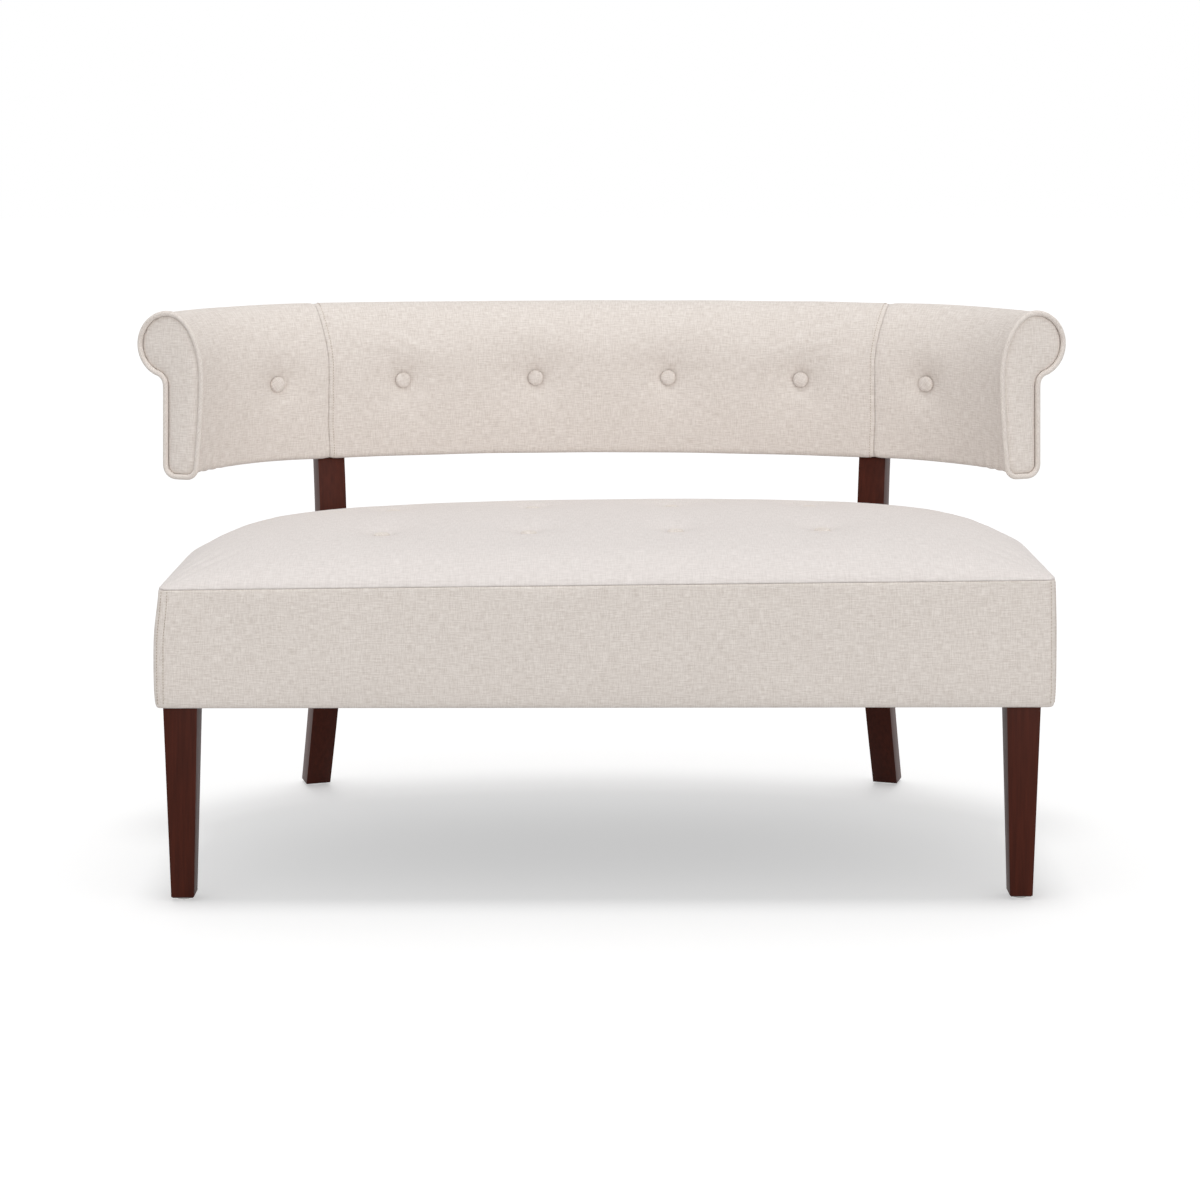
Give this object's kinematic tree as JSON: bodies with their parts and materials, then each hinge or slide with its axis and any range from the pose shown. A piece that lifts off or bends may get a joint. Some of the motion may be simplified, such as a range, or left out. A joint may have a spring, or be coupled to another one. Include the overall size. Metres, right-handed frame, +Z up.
{
  "type": "settee",
  "caption": "Upholstered settee with a D-shaped crowned seat, a floating wrap-around back with a rolled top, buttoned tufts, sabre rear legs and tapered front legs.",
  "frame": {"origin": "on the floor under the middle of the whole object's box", "axes": "+X across the seat, to the right as seen from the front; +Y to the rear; +Z up; the front faces -Y"},
  "size_m": [1.3398, 0.6414, 0.7492],
  "materials": {
    "espresso_wood": "satin",
    "oatmeal_linen": "matte",
    "padded_linen": "matte",
    "frame_timber": "matte",
    "plywood": "matte",
    "foam": "matte",
    "plated_steel": "satin",
    "twine": "matte",
    "black_cloth": "matte"
  },
  "bodies": {
    "root": {"front_leg_left": "espresso_wood", "front_leg_right": "espresso_wood", "rear_leg_left": "espresso_wood", "rear_leg_right": "espresso_wood", "foot_glides": "plated_steel", "front_leg_bolts": "plated_steel", "front_leg_inserts": "plated_steel", "rear_leg_bolts": "plated_steel", "rear_leg_nuts": "plated_steel", "seat_front_rail": "frame_timber", "seat_rear_rail": "frame_timber", "seat_side_rail_left": "frame_timber", "seat_side_rail_right": "frame_timber", "seat_stretcher_left": "frame_timber", "seat_stretcher_right": "frame_timber", "corner_block_left": "frame_timber", "corner_block_right": "frame_timber", "leg_block_left": "frame_timber", "leg_block_right": "frame_timber", "seat_deck": "plywood", "seat_foam": "foam", "seat_top_pad": "padded_linen", "seat_side_cover": "oatmeal_linen", "seat_buttons": "oatmeal_linen", "seat_button_ties": "twine", "dust_cover": "black_cloth", "back_lower_rail": "frame_timber", "back_upper_rail": "frame_timber", "back_skin": "plywood", "back_upright_middle": "frame_timber", "back_upright_left": "frame_timber", "back_upright_right": "frame_timber", "post_packer_left": "frame_timber", "post_packer_right": "frame_timber", "back_bolts": "plated_steel", "back_tee_nuts": "plated_steel", "back_foam": "foam", "roll_foam": "foam", "back_cover_middle": "oatmeal_linen", "back_cover_left": "oatmeal_linen", "back_cover_right": "oatmeal_linen", "outside_back_cover": "oatmeal_linen", "back_buttons": "oatmeal_linen", "back_button_ties": "twine", "arm_board_left": "plywood", "arm_board_right": "plywood", "arm_facing_left": "oatmeal_linen", "arm_facing_right": "oatmeal_linen", "arm_welt_left": "oatmeal_linen", "arm_welt_right": "oatmeal_linen"}
  },
  "joints": []
}
